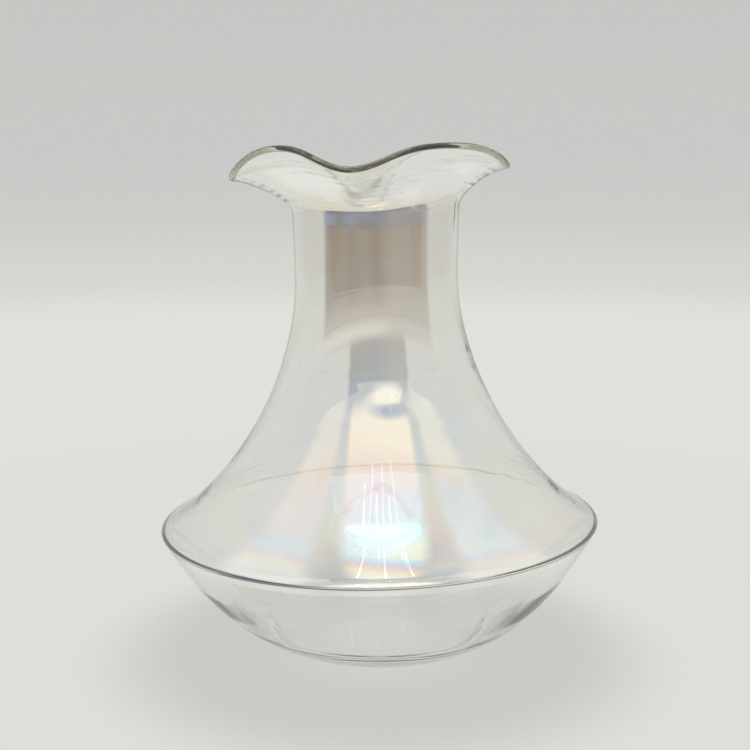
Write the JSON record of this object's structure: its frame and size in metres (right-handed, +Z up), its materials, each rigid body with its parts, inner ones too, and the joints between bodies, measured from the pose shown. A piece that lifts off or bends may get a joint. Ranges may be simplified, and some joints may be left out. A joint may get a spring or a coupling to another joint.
{
  "type": "blown glass vase",
  "caption": "Clear blown glass vase with a shallow bowl, sharp keel, conical shoulder, slim neck and ruffled flared rim.",
  "frame": {"origin": "middle of the flat base, where it stands, on the axis of the keel", "axes": "+Z up through the mouth, -Y towards the side shown in front, +X to its right"},
  "size_m": [0.1774, 0.1774, 0.201],
  "materials": {
    "base_glass": "clear, thick, faint grey-green",
    "bowl_glass": "clear, polished",
    "keel_glass": "clear, faint violet lustre",
    "shoulder_glass": "clear with pastel mother-of-pearl lustre",
    "neck_glass": "clear with pale green and brown lustre, fine draw streaks",
    "collar_glass": "clear with yellow and blue lustre, horizontal tooling streaks",
    "lip_glass": "clear, fire polished"
  },
  "bodies": {
    "root": {"base_disc": "base_glass", "lower_bowl": "bowl_glass", "keel_band": "keel_glass", "shoulder_cone": "shoulder_glass", "neck_tube": "neck_glass", "ruffled_collar": "collar_glass", "lip_bead": "lip_glass"}
  },
  "joints": []
}
